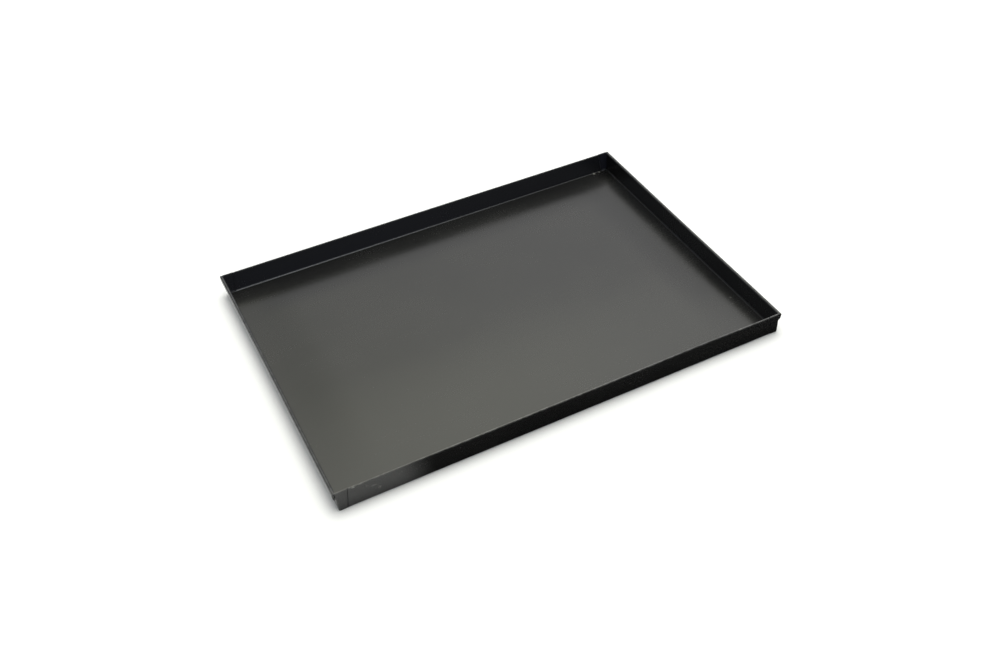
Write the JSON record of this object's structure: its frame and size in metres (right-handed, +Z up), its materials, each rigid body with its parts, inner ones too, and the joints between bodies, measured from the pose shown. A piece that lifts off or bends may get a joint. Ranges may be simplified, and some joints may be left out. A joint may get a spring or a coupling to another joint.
{
  "type": "flat metal tray",
  "caption": "Shallow rectangular tray of black-coated sheet steel with a flat floor, low straight walls and an outward hem along the rims of its short sides.",
  "frame": {"origin": "middle of the tray's length and width, on the underside of the floor", "axes": "+X along the length, towards a hemmed end wall; +Y along the width, towards a long wall; +Z up, out of the tray's open top"},
  "size_m": [0.4, 0.3, 0.02],
  "materials": {
    "black_coated_steel": "thin black coating on sheet steel, semi-gloss, slightly worn at the bends",
    "weld": "the same coating over a rippled weld bead, duller, with a blue heat tint"
  },
  "bodies": {
    "root": {"pan_sheet": "black_coated_steel", "right_end_wall": "black_coated_steel", "left_end_wall": "black_coated_steel", "right_floor_seam": "weld", "left_floor_seam": "weld", "front_right_tab_seam": "weld", "front_left_tab_seam": "weld", "back_right_tab_seam": "weld", "back_left_tab_seam": "weld", "front_right_tab_fillet": "weld", "front_left_tab_fillet": "weld", "back_right_tab_fillet": "weld", "back_left_tab_fillet": "weld"}
  },
  "joints": []
}
